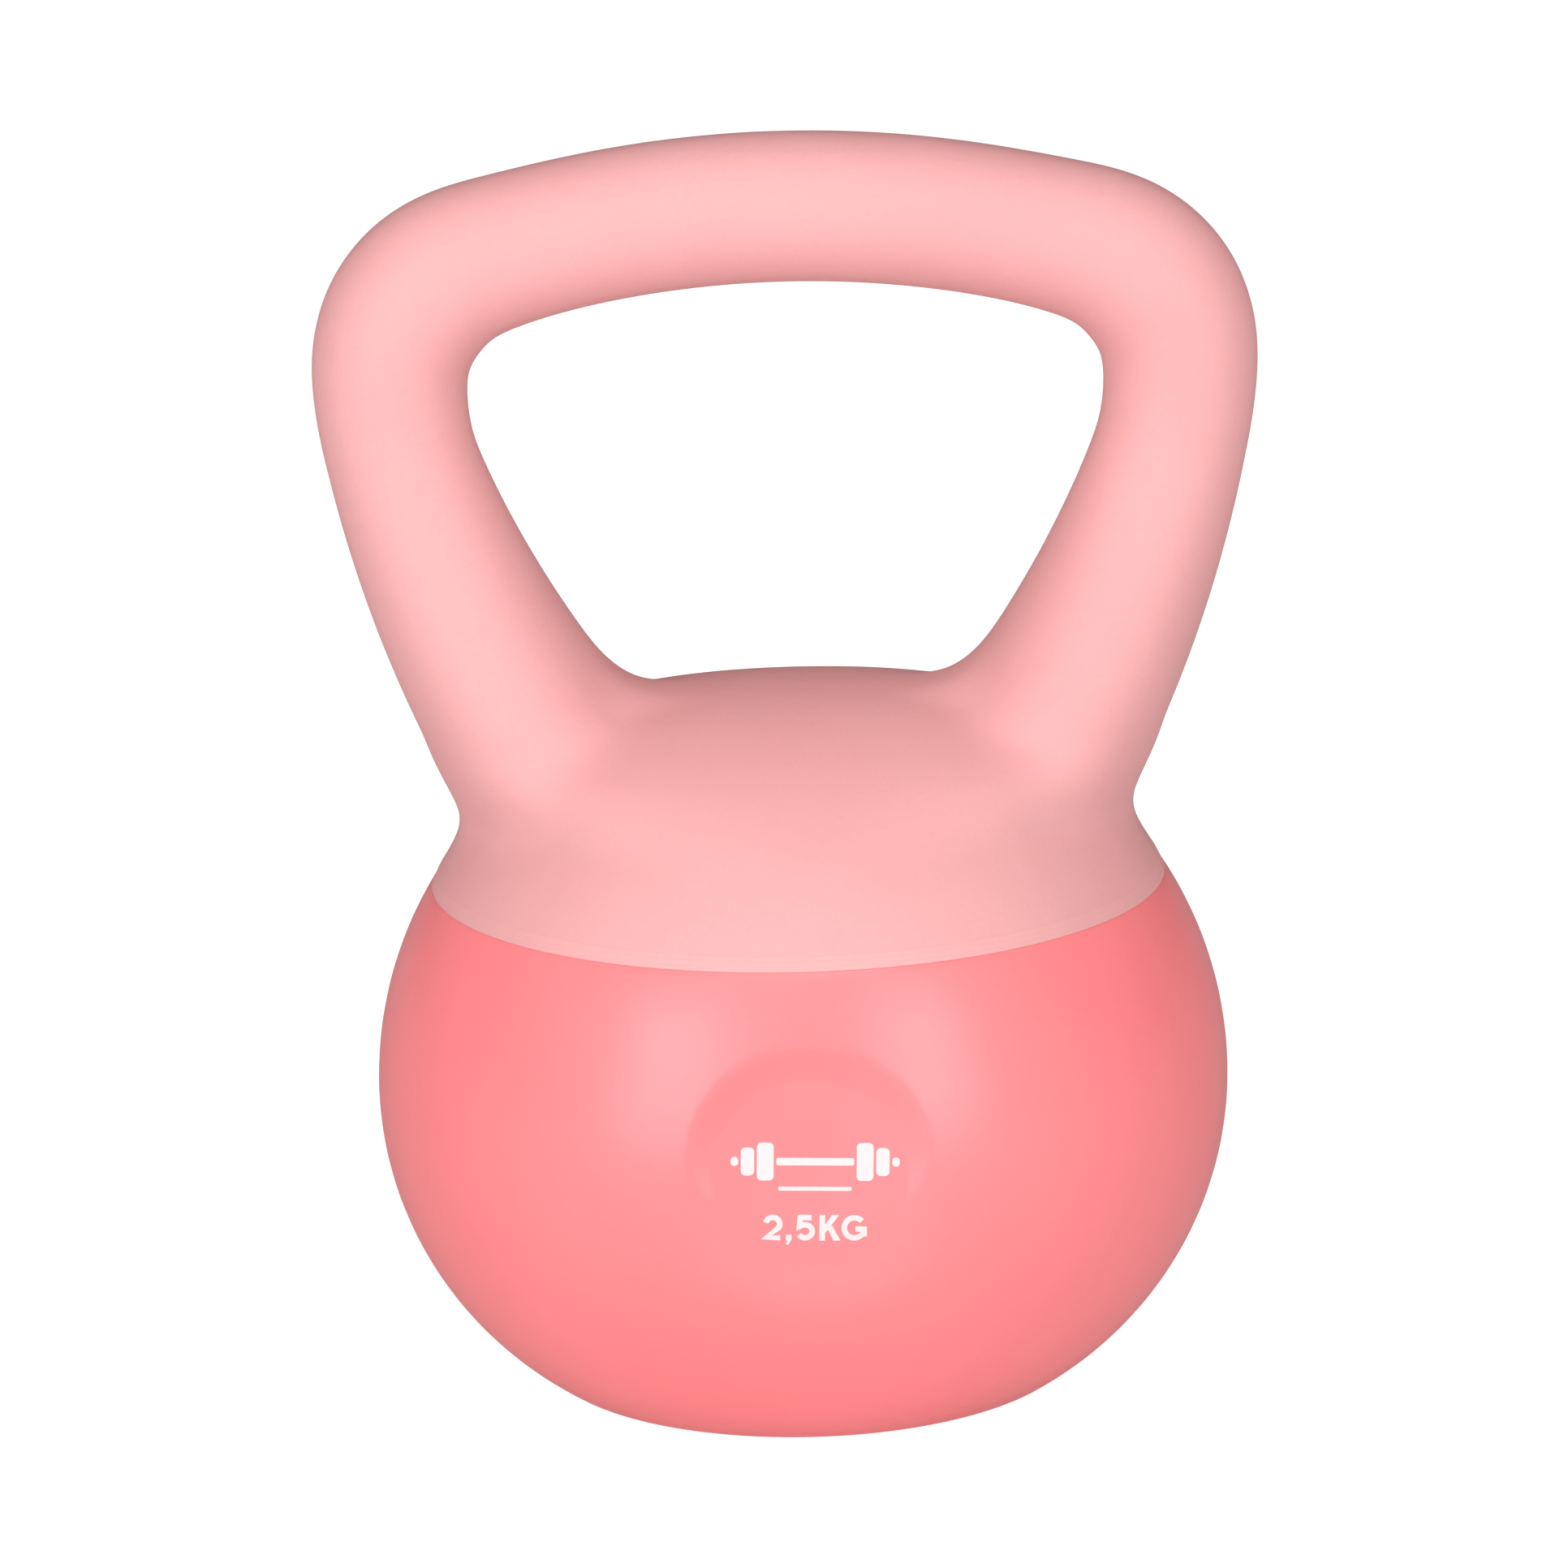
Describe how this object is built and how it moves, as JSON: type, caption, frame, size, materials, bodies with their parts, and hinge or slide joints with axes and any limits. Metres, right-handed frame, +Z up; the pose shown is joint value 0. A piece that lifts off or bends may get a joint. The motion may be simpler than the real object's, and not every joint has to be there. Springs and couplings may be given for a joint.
{
  "type": "soft kettlebell",
  "caption": "Soft kettlebell: a sand-filled ball with a flat base and a round front panel, under a one-piece soft cap that rises in flared legs to an arched grip.",
  "frame": {"origin": "centre of the flat base, on the axis of the ball", "axes": "+Z up through the grip, +X towards the right leg, -Y towards the front panel"},
  "size_m": [0.166, 0.1511, 0.2246],
  "materials": {
    "shell_pvc": "satin",
    "skin_pvc": "matte",
    "foam": "matte",
    "tube_steel": "satin",
    "insert_steel": "satin",
    "plate_steel": "satin",
    "bolt_steel": "satin",
    "washer_steel": "satin",
    "sand": "matte",
    "gasket_rubber": "matte",
    "plug_pvc": "satin"
  },
  "bodies": {
    "root": {"bell_shell": "shell_pvc", "handle_cap": "skin_pvc", "grip_foam": "foam", "handle_tube": "tube_steel", "tube_insert_left": "insert_steel", "tube_insert_right": "insert_steel", "anchor_plate": "plate_steel", "anchor_washer_left": "washer_steel", "anchor_washer_right": "washer_steel", "anchor_bolt_left": "bolt_steel", "anchor_bolt_right": "bolt_steel", "sand_fill": "sand", "plug_gasket": "gasket_rubber", "filler_plug": "plug_pvc"}
  },
  "joints": []
}
